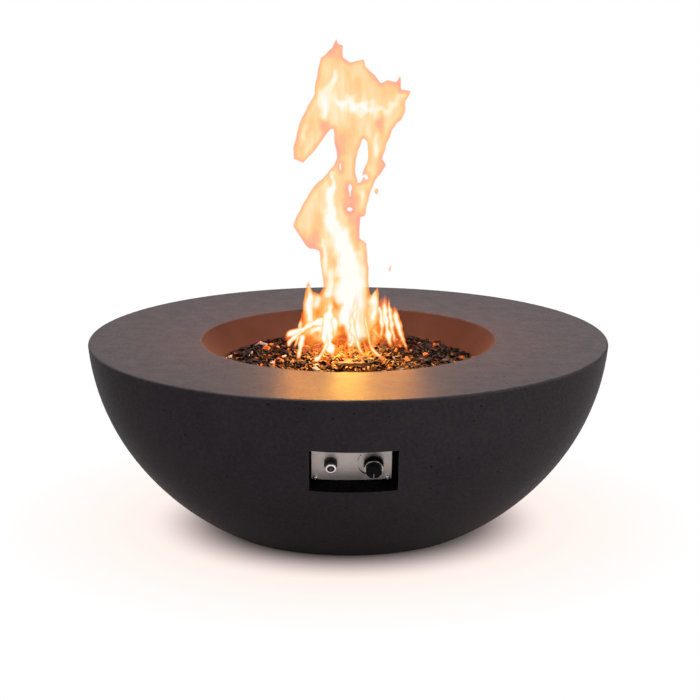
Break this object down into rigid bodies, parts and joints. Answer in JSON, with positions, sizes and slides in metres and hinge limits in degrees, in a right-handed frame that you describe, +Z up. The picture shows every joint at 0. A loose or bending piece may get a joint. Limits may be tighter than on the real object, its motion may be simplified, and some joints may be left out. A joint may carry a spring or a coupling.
{
  "type": "gas fire pit",
  "caption": "Round cast-concrete gas fire bowl with a sloping fire well, burner under lava stones, and a recessed control panel with knob and push igniter.",
  "frame": {"origin": "on the bowl's axis, at the floor under the rubber pads", "axes": "+Z up; the control panel faces -Y; +X is to the right as seen from the front"},
  "size_m": [1.066, 1.066, 0.388],
  "materials": {
    "concrete": "matt charcoal cast concrete",
    "rubber": "matt",
    "pan_steel": "heat-tinted stainless",
    "burner_steel": "stainless, blued by heat",
    "lava": "broken lava stone",
    "brass": "machined",
    "aluminium": "drawn tube",
    "panel_steel": "brushed stainless",
    "screw_steel": "polished",
    "ceramic_white": "glazed",
    "probe_steel": "heat-tinted",
    "copper": "drawn copper",
    "lead_black": "silicone sleeve",
    "valve_casting": "die-cast",
    "chrome": "polished",
    "knob_black": "moulded",
    "pointer_white": "inlaid",
    "spring_steel": "wire",
    "button_black": "moulded",
    "dot_red": "moulded",
    "housing_black": "moulded",
    "battery_can": "plain sleeve"
  },
  "bodies": {
    "root": {"bowl_shell": "concrete", "foot_pads": "rubber", "burner_pan": "pan_steel", "pan_screws": "screw_steel", "lava_bed": "lava", "lava_stones": "lava", "burner_ring": "burner_steel", "burner_lock_nut": "brass", "air_mixer": "brass", "air_shutter": "burner_steel", "orifice_elbow": "brass", "gas_feed_tube": "aluminium", "tube_nuts": "brass", "igniter_guard": "burner_steel", "guard_screws": "screw_steel", "electrode_ceramic": "ceramic_white", "electrode_wire": "probe_steel", "thermocouple": "probe_steel", "thermocouple_nut": "brass", "thermocouple_lead": "copper", "ignition_lead": "lead_black", "control_panel": "panel_steel", "panel_screws": "screw_steel", "valve_body": "valve_casting", "safety_magnet": "brass", "gas_inlet_elbow": "brass", "valve_nut": "screw_steel", "igniter_housing": "housing_black", "igniter_ring_nut": "chrome", "battery": "battery_can", "battery_contact": "spring_steel", "igniter_terminal": "brass", "lead_boot": "lead_black"},
    "valve_rotor": {"valve_rotor": "brass", "knob_spring": "spring_steel"},
    "knob": {"knob_stem": "screw_steel", "control_knob": "knob_black", "knob_trim_ring": "chrome", "knob_pointer": "pointer_white"},
    "igniter_cap": {"igniter_cap": "chrome", "button_spring": "spring_steel"},
    "igniter_button": {"igniter_button": "button_black", "button_dot": "dot_red"}
  },
  "joints": [
    {"name": "knob_turn", "type": "hinge", "parent": "root", "child": "valve_rotor", "pos_m": [0.0379, -0.45957, 0.2499], "axis": [0, 0.908, 0.419], "range_deg": [0, 180]},
    {"name": "knob_press", "type": "slide", "parent": "valve_rotor", "child": "knob", "axis": [0, 0.908, 0.419], "range_m": [0, 0.004], "stiffness_N_per_m": 500, "springref_m": -0.004, "deforming": ["knob_spring"]},
    {"name": "cap_off", "type": "slide", "parent": "root", "child": "igniter_cap", "axis": [0, -0.908, -0.419], "range_m": [0, 0.025]},
    {"name": "button_press", "type": "slide", "parent": "igniter_cap", "child": "igniter_button", "axis": [0, 0.908, 0.419], "range_m": [0, 0.0022], "stiffness_N_per_m": 400, "springref_m": -0.004, "deforming": ["button_spring"]}
  ]
}
